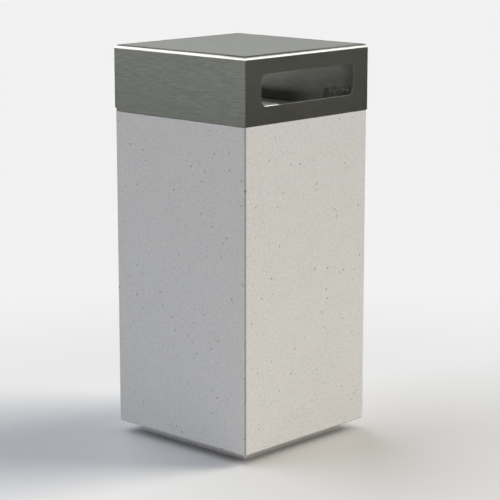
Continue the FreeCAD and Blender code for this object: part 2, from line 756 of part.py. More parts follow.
def make_liner_rim():
    """A flat bar welded round the liner's mouth."""
    body = new_body("liner_rim", dim("liner_top") - dim("liner_rim_height"))
    outline = new_sketch(body, "RimOutline")
    side = "Dims.liner_side + 2 * Dims.liner_rim_width"
    add_rectangle(outline, "rim", side, side)
    extrude(body, "Pad", "RimBlock", outline, "Dims.liner_rim_height")
    mouth = new_sketch(body, "MouthOutline", at=(0, 0, dim("liner_rim_height")))
    add_rectangle(mouth, "mouth", "Dims.liner_side", "Dims.liner_side")
    opened = pocket(body, "Mouth", mouth, "Dims.liner_rim_height")
    inner = dim("liner_side") / 2
    outer = inner + dim("liner_rim_width")
    rounded = soften(body, "Fillet", "MouthCorners", opened,
                     lambda edge: is_upright(edge) and lies_at(edge, inner), "Dims.liner_corner")
    soften(body, "Fillet", "RimCorners", rounded, lambda edge: is_upright(edge) and lies_at(edge, outer),
           "Dims.liner_corner + Dims.liner_rim_width")
    return body


def make_liner_feet():
    low = dim("floor_height") + dim("foot_clearance")
    height = "Dims.liner_bottom - Dims.floor_height - Dims.foot_clearance"
    feet = [cylinder("12", height, (x, y, low)) for x in (-120, 120) for y in (-120, 120)]
    return grouped(feet, "liner_feet")


def make_bail_rests():
    """Two pegs welded inside the liner, on which the folded bail lies."""
    inner = dim("liner_side") / 2 - dim("liner_sheet")
    z = BAIL_Z - 2 * dim("bail_radius") - 0.2
    pegs = [cylinder("Dims.bail_radius", "11", (100, side * inner, z), turn)
            for side, turn in ((-1, ALONG_Y), (1, AGAINST_Y))]
    return grouped(pegs, "bail_rests")


def rounded_path(points, radii):
    """A wire of straight runs joined by tangent arcs, one radius for each inner point."""
    edges = []
    start = points[0]
    for before, corner, after, radius in zip(points, points[1:], points[2:], radii):
        towards = (before - corner).normalize()
        away = (after - corner).normalize()
        half_turn = towards.getAngle(away) / 2
        setback = radius / math.tan(half_turn)
        middle = (towards + away).normalize()
        centre = corner + middle * (radius / math.sin(half_turn))
        arc_start = corner + towards * setback
        arc_end = corner + away * setback
        edges.append(Part.LineSegment(start, arc_start).toShape())
        edges.append(Part.Arc(arc_start, centre - middle * radius, arc_end).toShape())
        start = arc_end
    edges.append(Part.LineSegment(start, points[-1]).toShape())
    return Part.Wire(edges)


def make_bail_handle():
    """A bent round bar: two pivot ends through the liner's walls, two legs and a cross bar."""
    end_y = dim("liner_side") / 2 + 3.0
    reach = dim("bail_reach")
    points = [Vector(x, y, 0) for x, y in ((0, -end_y), (0, -BAIL_Y), (reach, -BAIL_Y), (reach, BAIL_Y),
                                           (0, BAIL_Y), (0, end_y))]
    path = rounded_path(points, (5.0, 20.0, 20.0, 5.0))
    section = Part.Wire([Part.Circle(points[0], Vector(0, 1, 0), dim("bail_radius")).toShape()])
    bail = doc.addObject("Part::Feature", "bail_handle")
    bail.Label = "bail_handle"
    bail.Shape = path.makePipeShell([section], True, False)
    bail.Placement = Placement(Vector(0, 0, BAIL_Z), UPRIGHT)
    return bail


def make_bail_grip():
    at = (dim("bail_reach"), -dim("grip_length") / 2, BAIL_Z)
    sleeve = cylinder("Dims.grip_radius", "Dims.grip_length", at, ALONG_Y)
    return cut(sleeve, [cylinder("Dims.bail_radius", "Dims.grip_length", at, ALONG_Y)], "bail_grip")


# ---- Ash pan and stub plate ---------------------------------------------------------------------------

def make_ash_pan():
    body = new_body("ash_pan")
    body.Placement = Placement(Vector(PAN_X, 0, dim("pan_bottom")), UPRIGHT)
    outline = new_sketch(body, "PanOutline")
    add_rectangle(outline, "pan", "Dims.pan_width", "Dims.pan_length")
    extrude(body, "Pad", "PanBlock", outline, "Dims.pan_depth")
    inside = hollow(body, "Inside", "Dims.pan_width", "Dims.pan_length", "Dims.pan_depth", "Dims.pan_sheet",
                    dim("pan_depth"))
    half_x = dim("pan_width") / 2 - dim("pan_sheet")
    half_y = dim("pan_length") / 2 - dim("pan_sheet")
    rounded = soften(body, "Fillet", "InnerCorners", inside,
                     lambda edge: is_upright(edge) and lies_at(edge, half_x, half_y),
                     "Dims.pan_corner - Dims.pan_sheet")
    soften(body, "Fillet", "PanCorners", rounded,
           lambda edge: is_upright(edge) and lies_at(edge, dim("pan_width") / 2, dim("pan_length") / 2),
           "Dims.pan_corner")
    return body


def make_ash_pan_lugs():
    """Angle lugs on the pan's front, rear and left walls, which rest on the liner's rim."""
    rest_z = dim("liner_top") + 0.2
    thick, wide, out, up = dim("lug_sheet"), dim("lug_width"), dim("lug_reach"), dim("lug_height")
    lugs = []
    wall_y = dim("pan_length") / 2
    for side in (-1, 1):
        for x in (-120.0, -60.0):
            shelf_y = wall_y if side > 0 else -wall_y - out
            leg_y = wall_y if side > 0 else -wall_y - thick
            shelf = box(text(wide), text(out), text(thick), (x, shelf_y, rest_z))
            leg = box(text(wide), text(thick), text(up), (x, leg_y, rest_z))
            lugs.append(fused([shelf, leg]))
    wall_x = PAN_X - dim("pan_width") / 2
    side_out = dim("lug_side_reach")
    for y in (-90.0, 70.0):
        shelf = box(text(side_out), text(wide), text(thick), (wall_x - side_out, y, rest_z))
        leg = box(text(thick), text(wide), text(up), (wall_x - thick, y, rest_z))
        lugs.append(fused([shelf, leg]))
    return grouped(lugs, "ash_pan_lugs")


def stub_hole_places():
    """Staggered rows of holes over the plate, clear of its edges and of the knob."""
    pitch = dim("hole_pitch")
    row_step = pitch * math.sqrt(3) / 2
    rows = int((dim("plate_length") / 2 - dim("hole_margin")) / row_step)
    columns = int(dim("plate_width") / 2 / pitch)
    widest = dim("plate_width") / 2 - dim("hole_margin")
    places = []
    for row in range(-rows, rows + 1):
        shift = pitch / 2 if row % 2 else 0.0
        for column in range(-columns, columns + 1):
            x, y = column * pitch + shift, row * row_step
            if abs(x) < widest and math.hypot(x, y - KNOB_Y) > 2 * dim("knob_radius"):
                places.append((x, y))
    return places


def make_stub_plate():
    """Perforated cap of the ash pan, on which cigarettes are put out."""
    body = doc.addObject("PartDesign::Body", "StubPlateBlank")
    low = dim("plate_top") - dim("plate_lip")
    body.Placement = Placement(Vector(PLATE_X, 0, low), UPRIGHT)
    outline = new_sketch(body, "PlateOutline")
    add_rectangle(outline, "plate", "Dims.plate_width", "Dims.plate_length")
    extrude(body, "Pad", "PlateBlock", outline, "Dims.plate_lip")
    top = dim("plate_lip")
    inside = hollow(body, "Inside", "Dims.plate_width", "Dims.plate_length", "Dims.plate_lip",
                    "Dims.pan_sheet")
    half_x = dim("plate_width") / 2 - dim("pan_sheet")
    half_y = dim("plate_length") / 2 - dim("pan_sheet")
    rounded = soften(body, "Fillet", "InnerCorners", inside,
                     lambda edge: is_upright(edge) and lies_at(edge, half_x, half_y),
                     "Dims.pan_corner + 1 - Dims.pan_sheet")
    corners = soften(body, "Fillet", "PlateCorners", rounded,
                     lambda edge: is_upright(edge) and lies_at(edge, dim("plate_width") / 2,
                                                               dim("plate_length") / 2),
                     "Dims.pan_corner + 1")
    soften(body, "Fillet", "PlateBends", corners, lambda edge: abs(edge.CenterOfMass.z - top) < 0.01,
           "Dims.plate_bend")
    drills = [cylinder("Dims.plate_hole_radius", "4", (PLATE_X + x, y, dim("plate_top") - 3))
              for x, y in stub_hole_places()]
    return cut(body, drills, "stub_plate")


def make_stub_plate_knob():
    top = dim("plate_top")
    stem = cylinder("Dims.knob_stem_radius", "Dims.knob_stem_height", (PLATE_X, KNOB_Y, top))
    head_at = (PLATE_X, KNOB_Y, top + dim("knob_stem_height"))
    head = cylinder("Dims.knob_radius", "Dims.knob_height", head_at)
    return fused([stem, head], "stub_plate_knob")


# ---- Build, check and write ---------------------------------------------------------------------------

MAKERS = (
    make_concrete_body, make_rim_sockets, make_drain_tube, make_rim_frame, make_rim_screws, make_rim_pads,
    make_hinge_fixed_leaf, make_hinge_pin, make_hinge_screws, make_lock_strike, make_strike_screws,
    make_hood_shell, make_hinge_hood_leaf, make_hinge_studs, make_hinge_nuts,
    make_lock_barrel, make_lock_nut, make_lock_plug, make_lock_cam, make_lock_cam_nut,
    make_liner_shell, make_liner_rim, make_liner_feet, make_bail_rests, make_bail_handle, make_bail_grip,
    make_ash_pan, make_ash_pan_lugs, make_stub_plate, make_stub_plate_knob,
)

pieces = [make() for make in MAKERS]
doc.recompute()

for item in doc.Objects:
    if "Invalid" in item.State or "Error" in item.State:
        raise RuntimeError("%s did not compute: %s" % (item.Label, item.State))
for piece in pieces:
    if piece.Shape.isNull() or not piece.Shape.isValid():
        raise RuntimeError("%s has no valid shape" % piece.Label)

os.makedirs("parts", exist_ok=True)
for piece in pieces:
    piece.Shape.exportStep("parts/%s.step" % piece.Label)
    size = piece.Shape.BoundBox
    print("%-18s solids %2d  volume %11.1f  x %7.1f..%7.1f  y %7.1f..%7.1f  z %6.1f..%6.1f" % (
        piece.Label, len(piece.Shape.Solids), piece.Shape.Volume,
        size.XMin, size.XMax, size.YMin, size.YMax, size.ZMin, size.ZMax))
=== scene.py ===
import math

import bmesh
import bpy
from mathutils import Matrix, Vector


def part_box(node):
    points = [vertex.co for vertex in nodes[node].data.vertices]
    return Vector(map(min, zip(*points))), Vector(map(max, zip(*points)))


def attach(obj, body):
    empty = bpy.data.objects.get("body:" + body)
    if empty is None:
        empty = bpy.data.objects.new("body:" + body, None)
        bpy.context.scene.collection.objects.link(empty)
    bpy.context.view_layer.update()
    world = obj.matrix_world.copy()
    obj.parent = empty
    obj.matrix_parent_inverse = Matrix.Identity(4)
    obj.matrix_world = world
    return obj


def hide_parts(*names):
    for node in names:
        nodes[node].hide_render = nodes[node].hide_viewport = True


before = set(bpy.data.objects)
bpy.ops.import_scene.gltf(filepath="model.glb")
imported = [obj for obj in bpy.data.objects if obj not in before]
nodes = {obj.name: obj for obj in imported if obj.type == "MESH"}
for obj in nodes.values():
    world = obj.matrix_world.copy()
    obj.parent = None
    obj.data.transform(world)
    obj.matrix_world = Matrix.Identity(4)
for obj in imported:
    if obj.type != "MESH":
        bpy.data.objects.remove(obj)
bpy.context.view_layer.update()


# ---- View ----------------------------------------------------------------------------------------------
# A long lens a little above the hood, turned so that the plain side and the slotted front both show.

CAMERA_PLACE = (-3.0215, -2.8528, 1.2927)
AIM = Vector((0.01325, -0.01417, 0.4248))
LENS = 134.2

bpy.ops.object.camera_add(location=CAMERA_PLACE)
camera = bpy.context.object
camera.rotation_euler = (AIM - camera.location).to_track_quat("-Z", "Y").to_euler()
camera.data.lens = LENS
camera.data.sensor_width = 36.0
bpy.context.scene.camera = camera
bpy.context.scene.view_settings.view_transform = "Standard"


# ---- Cast concrete body --------------------------------------------------------------------------------
# The block and its recessed foot, cast in one piece face down in a smooth steel mould. The mould leaves
# flat faces with a fine cloudy tone, small air holes and slightly rubbed arrises.

class Field:
    """A shader value that plain arithmetic works on."""

    def __init__(self, finish, socket):
        self.finish, self.socket = finish, socket

    def _maths(self, operation, *values):
        return self.finish.add("ShaderNodeMath", {"operation": operation}, *values)

    def __add__(self, other):
        return self._maths("ADD", self, other)

    def __radd__(self, other):
        return self._maths("ADD", other, self)

    def __sub__(self, other):
        return self._maths("SUBTRACT", self, other)

    def __rsub__(self, other):
        return self._maths("SUBTRACT", other, self)

    def __mul__(self, other):
        return self._maths("MULTIPLY", self, other)

    def __rmul__(self, other):
        return self._maths("MULTIPLY", other, self)

    def size(self):
        return self._maths("ABSOLUTE", self)

    def larger(self, other):
        return self._maths("MAXIMUM", self, other)

    def rise(self, start, end):
        """0 below start, 1 above end, and a soft step between."""
        return self.finish.add("ShaderNodeMapRange", {"interpolation_type": "SMOOTHSTEP"},
                               Value=self, **{"From Min": start, "From Max": end})


class Finish:
    """A material being built: its node tree and its surface shader."""

    def __init__(self, name, tree=None):
        if tree is None:
            self.material = bpy.data.materials.new(name)
            self.material.use_nodes = True
            tree = self.material.node_tree
        self.tree = tree
        self.shader = tree.nodes.get("Principled BSDF")

    def add(self, kind, settings, *values, output=0, **named):
        """Any other node: its settings first, then the values or links of its sockets."""
        node = self.tree.nodes.new(kind)
        for key, value in settings.items():
            setattr(node, key, value)
        for key, value in list(enumerate(values)) + list(named.items()):
            if isinstance(value, Field):
                self.tree.links.new(value.socket, node.inputs[key])
            else:
                node.inputs[key].default_value = value
        return Field(self, node.outputs[output])

    def place(self, stretch=(1.0, 1.0, 1.0)):
        """Where a point is on the piece, with each axis scaled."""
        at = self.add("ShaderNodeTexCoord", {}, output="Object")
        return self.add("ShaderNodeMapping", {}, Vector=at, Scale=stretch)

    def axes(self, vector):
        split = self.add("ShaderNodeSeparateXYZ", {}, vector)
        return [Field(self, split.socket.node.outputs[axis]) for axis in range(3)]

    def facing(self):
        """The size of the surface normal along each of the piece's own axes."""
        normal = self.add("ShaderNodeTexCoord", {}, output="Normal")
        return [axis.size() for axis in self.axes(normal)]

    def cloud(self, scale, detail=2.0, stretch=(1.0, 1.0, 1.0)):
        return self.add("ShaderNodeTexNoise", {}, output="Fac", Vector=self.place(stretch),
                        Scale=scale, Detail=detail)

    def cells(self, scale, output="Distance"):
        return self.add("ShaderNodeTexVoronoi", {}, output=output, Vector=self.place(), Scale=scale)

    def blend(self, mask, first, second):
        """The first colour where the mask is 0, the second where it is 1."""
        node = self.tree.nodes.new("ShaderNodeMix")
        node.data_type = "RGBA"
        for socket, value in ((node.inputs[0], mask), (node.inputs[6], first), (node.inputs[7], second)):
            if isinstance(value, Field):
                self.tree.links.new(value.socket, socket)
            else:
                socket.default_value = value if isinstance(value, float) else (*value, 1.0)
        return Field(self, node.outputs[2])

    def tone(self, colour, factor):
        """A colour made lighter or darker by a factor that changes over the surface."""
        node = self.add("ShaderNodeVectorMath", {"operation": "SCALE"}, colour if isinstance(colour, Field)
                        else tuple(colour), output="Vector")
        scale = node.socket.node.inputs["Scale"]
        self.tree.links.new(factor.socket, scale)
        return node

    def surface(self, **values):
        for name, value in values.items():
            socket = self.shader.inputs[name.replace("_", " ")]
            if isinstance(value, Field):
                self.tree.links.new(value.socket, socket)
            else:
                socket.default_value = (*value, 1.0) if isinstance(value, tuple) else value

    def relief(self, height, depth, strength=1.0):
        bump = self.add("ShaderNodeBump", {}, output="Normal", Height=height, Distance=depth,
                        Strength=strength)
        self.tree.links.new(bump.socket, self.shader.inputs["Normal"])

    def paint(self, *names):
        for name in names:
            for slot in nodes[name].material_slots:
                slot.material = self.material


def cast_concrete():
    finish = Finish("cast concrete")
    clouds = finish.cloud(28.0, 3.0)
    grit = finish.cloud(420.0, 2.0)
    sand = finish.cells(260.0)
    # air holes: a few wide ones, and many pinholes, painted darker as the shade inside them
    wide = 1.0 - finish.cells(36.0).rise(0.055, 0.105)
    pins = 1.0 - finish.cells(95.0).rise(0.08, 0.18)
    across, along, up = finish.facing()
    arris = 1.0 - across.larger(along).larger(up).rise(0.80, 0.97)
    mottle = finish.cloud(170.0, 3.0)
    tone = 0.71 + 0.05 * clouds + 0.36 * mottle + 0.21 * grit + 0.04 * sand
    tone = tone * (1.0 - 0.44 * wide) * (1.0 - 0.26 * pins) * (1.0 + 0.05 * arris)
    # painted shade and light: a shade darker towards the top, which levels the light on the walls, and a
    # foot painted paler, as if lit, with painted shade along its lower edge
    level = finish.axes(finish.place())[2]
    tone = tone * (1.035 - 0.115 * level.rise(0.0, 0.72)) * (0.85 + 0.50 * level.rise(0.002, 0.009))
    tone = tone * (1.0 - 0.26 * level.rise(0.0235, 0.0255))
    finish.surface(Base_Color=finish.tone((0.525, 0.522, 0.512), tone),
                   Roughness=0.80 + 0.12 * grit)
    finish.shader.inputs["Specular IOR Level"].default_value = 0.25
    finish.relief(0.25 * grit + 0.15 * sand - 1.0 * wide - 0.35 * pins, 0.0012, 0.6)
    return finish


concrete = cast_concrete()
concrete.paint("concrete_body")


# ---- Brushed stainless hood ----------------------------------------------------------------------------
# One folded sheet of 2.5 mm stainless, brushed along its walls before folding. The corners are welded
# and dressed flush, and the slot is cut by laser with its edge rubbed smooth.

HOOD_LOW, HOOD_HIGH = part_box("hood_shell")
SHEET = 0.0025
FLANGE = 0.014
REAR_FLANGE = 0.015
BEND = 0.009
TOP_SHADE_BAND = 0.014
RELIEF = 0.0045
HINGE_LEVEL = 0.752
SLOT_LOW, SLOT_HIGH = Vector((-0.150, -0.21, 0.784)), Vector((0.150, -0.19, 0.853))
SLOT_CORNER = 0.015
LOCK_PLACE = Vector((0.200, -0.140, 0.782))
LOCK_RADIUS = 0.009


def brushed_sheet(name, colour, roughness, contrast, skin=None):
    """Level grain lines on the walls, and lines along X on faces that lie flat. Where skin gives the hood's
    half width and top, the sheet's inner side has the duller finish that it left the mill with."""
    finish = Finish(name)
    flat = finish.facing()[2].rise(0.6, 0.8)
    wall_hair = finish.cloud(1.0, 3.0, (12.0, 12.0, 1500.0))
    wall_band = finish.cloud(1.0, 3.0, (42.0, 42.0, 460.0))
    flat_hair = finish.cloud(1.0, 3.0, (6.0, 1300.0, 6.0))
    flat_band = finish.cloud(1.0, 2.0, (9.0, 260.0, 9.0))
    handling = finish.cloud(9.0, 2.0)
    hair = wall_hair * (1.0 - flat) + flat_hair * flat
    band = wall_band * (1.0 - flat) + flat_band * (flat * 0.35) + 0.325 * flat
    tone = 1.0 + contrast * (band - 0.5) + 0.25 * contrast * (hair - 0.5) + 0.04 * (handling - 0.5)
    rough = roughness - 0.04 + 0.08 * hair + 0.05 * handling
    metal = 1.0
    if skin:
        half, top = skin
        across, along, up = finish.axes(finish.place())
        inner = (half - across.size()).rise(0.0010, 0.0016) * (half - along.size()).rise(0.0010, 0.0016)
        inner = inner * (top - up).rise(0.0010, 0.0016)
        # painted shade inside: darker low down at the rear and in the front corners, as seen through the
        # slot
        low_rear_shade = inner * (1.0 - up.rise(0.762, 0.786)) * along.rise(-0.12, 0.04)
        corner_shade = inner * (1.0 - along.rise(-0.165, -0.115))
        # painted shade outside: walls a little darker towards their lower edge, and a dark line round the
        # top along its bends
        lower_wall_shade = (1.0 - up.rise(0.70, top - 0.02)) * (1.0 - inner)
        field = half - TOP_SHADE_BAND
        border = 1.0 - (field - across.size()).rise(0.0, 0.004) * (field - along.size()).rise(0.0, 0.004)
        bend_shade_line = border * (up - top).rise(-0.0005, -0.0001)
        for mask, change in ((inner, 0.20), (low_rear_shade, -0.85), (corner_shade, -0.45), (lower_wall_shade, -0.15),
                             (bend_shade_line, -0.5)):
            tone = tone * (1.0 + change * mask)
        metal = 1.0 - 0.26 * inner - 0.3 * low_rear_shade
        rough = rough + 0.05 * inner
    finish.surface(Base_Color=finish.tone(colour, tone), Metallic=metal, Roughness=rough)
    finish.relief(0.5 * hair + 0.5 * band, 0.00004, 0.5)
    return finish


stainless = brushed_sheet("brushed stainless", (0.60, 0.60, 0.575), 0.17, 0.62,
                          (HOOD_HIGH.x, HOOD_HIGH.z))


def clear_choice():
    if bpy.context.object and bpy.context.object.mode == "EDIT":
        bpy.ops.object.mode_set(mode="OBJECT")
    bpy.ops.object.select_all(action="DESELECT")


def settle(name):
    """Names the new primitive and puts its place and size into its mesh."""
    piece = bpy.context.object
    piece.name = piece.data.name = name
    bpy.ops.object.transform_apply(location=True, rotation=True, scale=True)
    return piece


def block(name, low, high):
    """A box between two corners, ready to be shaped."""
    clear_choice()
    low, high = Vector(low), Vector(high)
    bpy.ops.mesh.primitive_cube_add(size=1.0, location=(low + high) / 2, scale=high - low)
    return settle(name)


def choose(piece, kind, wanted):
    """Selects those faces or edges of the piece, in edit mode, that wanted() picks by place or normal."""
    bpy.context.view_layer.objects.active = piece
    if piece.mode != "EDIT":
        piece.select_set(True)
        bpy.ops.object.mode_set(mode="EDIT")
    bpy.ops.mesh.select_mode(type=kind)
    bpy.ops.mesh.select_all(action="DESELECT")
    shape = bmesh.from_edit_mesh(piece.data)
    for item in shape.faces if kind == "FACE" else shape.edges:
        if wanted(item):
            item.select_set(True)
    bmesh.update_edit_mesh(piece.data)


def edge_runs(axis, test=lambda middle: True):
    """A test for edges that run along one axis and whose middle passes the given test."""
    def wanted(edge):
        run = edge.verts[1].co - edge.verts[0].co
        return abs(run[axis]) > 0.99 * run.length and test((edge.verts[0].co + edge.verts[1].co) / 2)
    return wanted


def modify(piece, kind, **settings):
    """Adds a modifier and applies it."""
    clear_choice()
    bpy.context.view_layer.objects.active = piece
    piece.select_set(True)
    modifier = piece.modifiers.new(kind.title(), kind)
    for key, value in settings.items():
        setattr(modifier, key, value)
    bpy.ops.object.modifier_apply(modifier=modifier.name)


def cut_away(piece, cutter):
    clear_choice()
    modify(piece, "BOOLEAN", object=cutter, operation="DIFFERENCE", solver="EXACT")
    bpy.data.objects.remove(cutter)


def smooth(piece, angle=35.0):
    clear_choice()
    bpy.context.view_layer.objects.active = piece
    piece.select_set(True)
    bpy.ops.object.shade_smooth_by_angle(angle=math.radians(angle))


def finished(piece, finish, slot, body, *replaced):
    piece.data.materials.clear()
    piece.data.materials.append(finish.material)
    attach(piece, body)
    if replaced:
        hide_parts(*replaced)


def folded_hood():
    """Four walls and a top with rounded bends, flanges turned in below, the slot, and the lock's hole."""
    hood = block("folded_hood", HOOD_LOW, HOOD_HIGH)
    choose(hood, "FACE", lambda face: face.normal.z < -0.9)
    bpy.ops.mesh.inset(thickness=SHEET + FLANGE)
    bpy.ops.mesh.delete(type="FACE")
    choose(hood, "EDGE", lambda edge: all(abs(vert.co.z - HOOD_HIGH.z) < 1e-5 for vert in edge.verts))
    bpy.ops.mesh.bevel(offset=BEND, segments=12, affect="EDGES", profile=0.5)
    modify(hood, "SOLIDIFY", thickness=SHEET, offset=-1.0, use_even_offset=True)

    slot = block("slot_cutter", SLOT_LOW, SLOT_HIGH)
    choose(slot, "EDGE", edge_runs(1))
    bpy.ops.mesh.bevel(offset=SLOT_CORNER, segments=10, affect="EDGES", profile=0.5)
    cut_away(hood, slot)
    # the rear wall stops above the hinge, and its flange stands back where the hinge leaf lies
    back, inside = HOOD_HIGH.y, HOOD_HIGH.y - SHEET
    cut_away(hood, block("relief_cutter", (-back - 0.01, back - RELIEF, HOOD_LOW.z - 0.005),
                         (back + 0.01, back + 0.01, HINGE_LEVEL)))
    cut_away(hood, block("back_cutter", (-inside, inside - REAR_FLANGE, HOOD_LOW.z - 0.0015),
                         (inside, back - 0.001, HOOD_LOW.z + 0.004)))
    # a round hole through the wall, opened out where the lock's head sits flush
    for start, end, radius, flare in ((-0.01, 0.01, LOCK_RADIUS, LOCK_RADIUS),
                                      (-0.002, 0.002, LOCK_RADIUS, LOCK_RADIUS + 0.004)):
        clear_choice()
        bpy.ops.mesh.primitive_cone_add(vertices=64, radius1=radius, radius2=flare, depth=end - start,
                                        location=LOCK_PLACE + Vector(((start + end) / 2, 0, 0)),
                                        rotation=(0, math.pi / 2, 0))
        cut_away(hood, settle("lock_cutter"))
    modify(hood, "BEVEL", width=0.0005, segments=2, limit_method="ANGLE", angle_limit=math.radians(50),
           use_clamp_overlap=True)
    smooth(hood)
    modify(hood, "WEIGHTED_NORMAL", keep_sharp=True)
    return hood


finished(folded_hood(), stainless, "brushed_stainless", "hood", "hood_shell")

satin_steel = brushed_sheet("satin hinge steel", (0.56, 0.56, 0.55), 0.30, 0.20)
satin_steel.paint("hinge_fixed_leaf", "hinge_hood_leaf", "hinge_pin")


# ---- Rim frame, fixings and lock -----------------------------------------------------------------------
# A hot-dip galvanised angle frame lines the mouth, and the strike, liner and ash pan have the same coat.
# The screws, nuts and bail are zinc plated, and the lock's barrel and plug are satin chrome.

def galvanised():
    """Zinc spangle: flat crystals 6 to 15 mm across, each a slightly different grey."""
    finish = Finish("hot dip zinc")
    crystal = finish.axes(finish.cells(95.0, "Color"))[0]
    edge = finish.cells(95.0).rise(0.35, 0.75)
    bloom = finish.cloud(14.0, 3.0)
    tone = 0.84 + 0.22 * crystal + 0.14 * bloom - 0.06 * edge
    finish.surface(Base_Color=finish.tone((0.52, 0.53, 0.535), tone),
                   Metallic=0.85, Roughness=0.34 + 0.14 * crystal + 0.12 * bloom)
    finish.relief(crystal, 0.00008, 0.4)
    return finish


def zinc_plate():
    finish = Finish("bright zinc plate")
    speckle = finish.cloud(600.0, 2.0)
    stain = finish.cloud(60.0, 2.0)
    finish.surface(Base_Color=finish.blend(0.6 * stain, (0.46, 0.46, 0.445), (0.42, 0.435, 0.46)),
                   Metallic=0.95, Roughness=0.36 + 0.12 * speckle)
    finish.relief(speckle, 0.00003, 0.4)
    return finish


def satin_chrome():
    """Fine turning rings about the lock's axis, with a few handling marks."""
    finish = Finish("satin chrome")
    _, along, up = finish.axes(finish.place())
    y, z = along - LOCK_PLACE.y, up - LOCK_PLACE.z
    radius = finish.add("ShaderNodeMath", {"operation": "SQRT"}, y * y + z * z)
    rings = finish.add("ShaderNodeMath", {"operation": "SINE"}, radius * 14000.0)
    marks = finish.cloud(300.0, 3.0)
    finish.surface(Base_Color=finish.tone((0.66, 0.66, 0.65), 0.96 + 0.03 * rings + 0.05 * marks),
                   Metallic=1.0, Roughness=0.20 + 0.03 * rings + 0.10 * marks)
    finish.relief(rings, 0.00002, 0.3)
    return finish


zinc_coat = galvanised()
zinc_coat.paint("rim_frame", "lock_strike", "liner_shell", "liner_rim", "ash_pan", "ash_pan_lugs")
plating = zinc_plate()
plating.paint("rim_sockets", "rim_screws", "hinge_screws", "hinge_studs", "hinge_nuts", "strike_screws",
              "lock_nut", "lock_cam", "lock_cam_nut", "bail_handle", "bail_rests")
chrome = satin_chrome()
chrome.paint("lock_barrel", "lock_plug")


# ---- Stub plate and its knob ---------------------------------------------------------------------------
# A perforated stainless plate that drops over the ash pan, lifted by a knob turned from bar and screwed
# to it. Use has left a little soot and ash around the holes.

def plate_sheet():
    finish = Finish("perforated plate stainless")
    hair = finish.cloud(1.0, 3.0, (900.0, 6.0, 900.0))
    soot = finish.cloud(16.0, 4.0).rise(0.42, 0.72)
    dust = finish.cloud(240.0, 3.0).rise(0.52, 0.70)
    colour = finish.blend(0.45 * soot, (0.60, 0.60, 0.59), (0.16, 0.155, 0.15))
    colour = finish.blend(0.25 * dust, colour, (0.50, 0.49, 0.47))
    finish.surface(Base_Color=colour, Metallic=0.92 - 0.35 * soot,
                   Roughness=0.30 + 0.12 * hair + 0.20 * soot)
    finish.relief(hair + 0.5 * dust, 0.00005, 0.5)
    return finish


plate_steel = plate_sheet()
plate_steel.paint("stub_plate")


def rod(name, radius, start, end, sides=48):
    """A round bar between two points on one axis, ready to be shaped."""
    clear_choice()
    start, end = Vector(start), Vector(end)
    turn = (end - start).to_track_quat("Z", "Y").to_euler()
    bpy.ops.mesh.primitive_cylinder_add(vertices=sides, radius=radius, depth=(end - start).length,
                                        location=(start + end) / 2, rotation=turn)
    return settle(name)


def lathe_on(piece, axis, steps):
    """Draws the selected end face on along an axis: each step is (distance, scale about its own middle)."""
    move = Vector((0.0, 0.0, 0.0))
    for distance, factor in steps:
        move[axis] = distance
        bpy.ops.mesh.extrude_region_move(TRANSFORM_OT_translate={"value": move})
        if factor != 1.0:
            bpy.ops.transform.resize(value=(factor, factor, factor))


def turned_knob():
    """A round knob with a waist, an eased rim and a shallow dish in its top."""
    low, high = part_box("stub_plate_knob")
    x, y = (low.x + high.x) / 2, (low.y + high.y) / 2
    knob = rod("plate_knob", 0.0040, (x, y, low.z), (x, y, low.z + 0.0072))
    choose(knob, "FACE", lambda face: face.normal.z > 0.9)
    lathe_on(knob, 2, [(0.0008, 1.95), (0.0012, 1.12), (0.0028, 1.03), (0.0018, 0.97), (0.0009, 0.90)])
    bpy.ops.mesh.inset(thickness=0.0022)
    bpy.ops.transform.translate(value=(0, 0, -0.0007))
    modify(knob, "BEVEL", width=0.0003, segments=2, limit_method="ANGLE", angle_limit=math.radians(25))
    smooth(knob, 40.0)
    return knob


finished(turned_knob(), plate_steel, "plate_stainless", "stub_plate", "stub_plate_knob")


# ---- Rubber, drain tube and bail grip ------------------------------------------------------------------
# Soft strips under the hood, feet under the liner, a grey drain tube, and a black grip moulded on to
# the liner's bail.

def matt_polymer(name, colour, grain, roughness):
    finish = Finish(name)
    stipple = finish.cloud(grain, 2.0)
    wear = finish.cloud(35.0, 3.0)
    finish.surface(Base_Color=finish.tone(colour, 0.85 + 0.12 * stipple + 0.22 * wear),
                   Roughness=roughness - 0.05 + 0.12 * stipple)
    finish.relief(stipple, 0.00010, 0.5)
    return finish


rubber = matt_polymer("rubber strip", (0.035, 0.035, 0.036), 900.0, 0.78)
rubber.paint("rim_pads", "liner_feet")
grey_plastic = matt_polymer("grey drain tube", (0.30, 0.31, 0.32), 1400.0, 0.50)
grey_plastic.paint("drain_tube")
black_plastic = matt_polymer("black moulding", (0.035, 0.035, 0.036), 1600.0, 0.42)


def ribbed_grip():
    """A sleeve moulded on to the bail, with finger ribs and a bore for the bar."""
    low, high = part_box("bail_grip")
    x, z, radius = (low.x + high.x) / 2, (low.z + high.z) / 2, (high.z - low.z) / 2
    ribs, neck, bore = 12, 0.93, 0.0041
    pitch = (high.y - low.y) / ribs
    grip = rod("bail_grip_moulding", radius * neck, (x, low.y, z), (x, low.y + 0.1 * pitch, z))
    choose(grip, "FACE", lambda face: face.normal.y > 0.9 and len(face.verts) > 4)
    rib = [(0.06 * pitch, 1 / neck), (0.68 * pitch, 1.0), (0.06 * pitch, neck), (0.20 * pitch, 1.0)]
    lathe_on(grip, 1, (rib * ribs)[:-1] + [(0.1 * pitch, 1.0)])
    choose(grip, "FACE", lambda face: abs(face.normal.y) > 0.9 and len(face.verts) > 4)
    bpy.ops.mesh.inset(thickness=radius * neck - bore)
    bpy.ops.mesh.bridge_edge_loops()
    modify(grip, "BEVEL", width=0.00025, segments=2, limit_method="ANGLE", angle_limit=math.radians(25))
    smooth(grip, 40.0)
    return grip


finished(ribbed_grip(), black_plastic, "black_plastic", "bail", "bail_grip")
